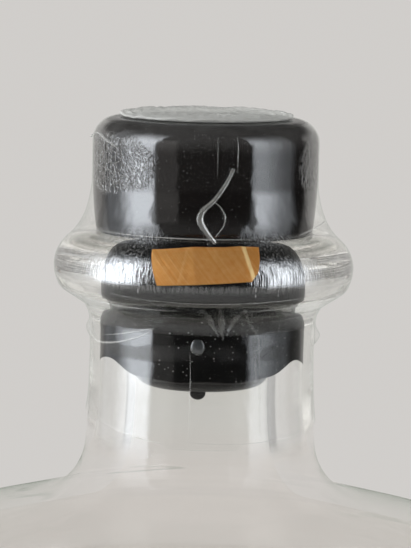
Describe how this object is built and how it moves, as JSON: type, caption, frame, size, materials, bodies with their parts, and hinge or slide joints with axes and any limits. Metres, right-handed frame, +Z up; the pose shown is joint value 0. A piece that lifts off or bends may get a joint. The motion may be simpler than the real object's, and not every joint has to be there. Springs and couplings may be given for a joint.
{
  "type": "gin bottle",
  "caption": "Sealed round gin bottle of clear glass with a heavy mouth ring, a black bar-top stopper, a clear shrink seal and a gold tear tab.",
  "frame": {"origin": "centre of the base, on the plane that the bottle stands on", "axes": "+Z up along the bottle's axis, -Y towards the gold tear tab at the front, +X to the right as seen from the front"},
  "size_m": [0.092, 0.092, 0.2004],
  "materials": {
    "clear_glass": "polished",
    "gin_liquid": "polished",
    "black_plastic": "gloss",
    "black_cork": "satin",
    "clear_film": "gloss",
    "gold_foil": "satin"
  },
  "bodies": {
    "root": {"glass_bottle": "clear_glass", "gin": "gin_liquid", "stopper_head": "black_plastic", "stopper_shank": "black_cork", "seal_sleeve": "clear_film", "seal_top_disc": "clear_film", "pull_tab": "gold_foil", "tear_ribbon": "clear_film"}
  },
  "joints": []
}
